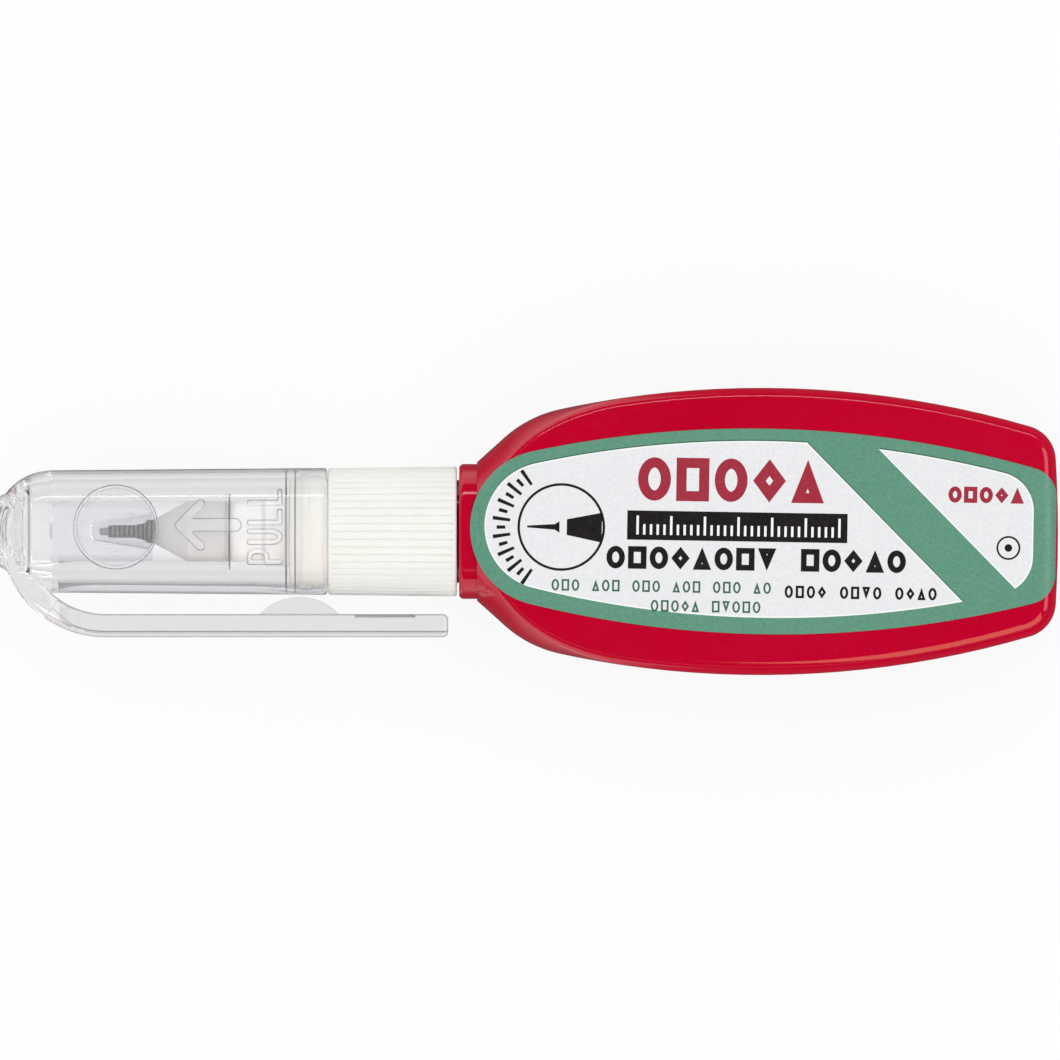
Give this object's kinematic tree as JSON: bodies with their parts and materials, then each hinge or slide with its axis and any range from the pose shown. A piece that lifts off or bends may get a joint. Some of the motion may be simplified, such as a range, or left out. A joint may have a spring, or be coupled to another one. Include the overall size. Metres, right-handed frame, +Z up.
{
  "type": "correction pen",
  "caption": "Flat squeeze-bottle correction pen with a ribbed collar, sprung metal needle tip and a clear pull-off cap with pocket clip",
  "frame": {"origin": "centre of the footprint, on the surface that the back label lies on", "axes": "+X along the pen from the cap's nose to the bottle's base, +Y across the flat bottle away from the clip, +Z up out of the front label"},
  "size_m": [0.115, 0.0312, 0.0158],
  "materials": {
    "red_plastic": "glossy moulded",
    "front_print": "satin printed film",
    "back_print": "satin printed film",
    "ball_steel": "polished",
    "gasket_rubber": "matte",
    "collar_white": "satin moulded",
    "nozzle_white": "satin moulded",
    "tip_metal": "turned",
    "needle_steel": "drawn wire",
    "plunger_plastic": "satin moulded",
    "spring_steel": "drawn wire",
    "clear_plastic": "clear polished",
    "sleeve_clear": "clear polished",
    "plug_soft": "soft, milky",
    "clip_clear": "clear polished"
  },
  "bodies": {
    "pen": {"bottle": "red_plastic", "front_label": "front_print", "back_label": "back_print", "neck_gasket": "gasket_rubber", "grip_collar": "collar_white", "nozzle": "nozzle_white", "tip_ferrule": "tip_metal", "tip_pipe": "tip_metal", "valve_spring": "spring_steel", "spring_retainer": "plunger_plastic"},
    "cap": {"cap_shell": "clear_plastic", "cap_sleeve": "sleeve_clear", "tip_plug": "plug_soft"},
    "clip": {"pocket_clip": "clip_clear"},
    "valve": {"valve_needle": "needle_steel", "needle_plunger": "plunger_plastic"},
    "ball": {"mixing_ball": "ball_steel"}
  },
  "joints": [
    {"name": "cap_pull", "type": "slide", "parent": "pen", "child": "cap", "axis": [-1, 0, 0], "range_m": [0, 0.04]},
    {"name": "clip_flex", "type": "hinge", "parent": "cap", "child": "clip", "pos_m": [-0.0526, -0.00942, 0.00792], "axis": [0, 0, -1], "range_deg": [0, 6], "stiffness_Nm_per_rad": 1},
    {"name": "valve_press", "type": "slide", "parent": "pen", "child": "valve", "axis": [1, 0, 0], "range_m": [0, 0.0005], "stiffness_N_per_m": 150, "springref_m": -0.002, "deforming": ["valve_spring"]},
    {"name": "ball_roll", "type": "slide", "parent": "pen", "child": "ball", "axis": [1, 0, 0], "range_m": [-0.046, 0.008]}
  ]
}
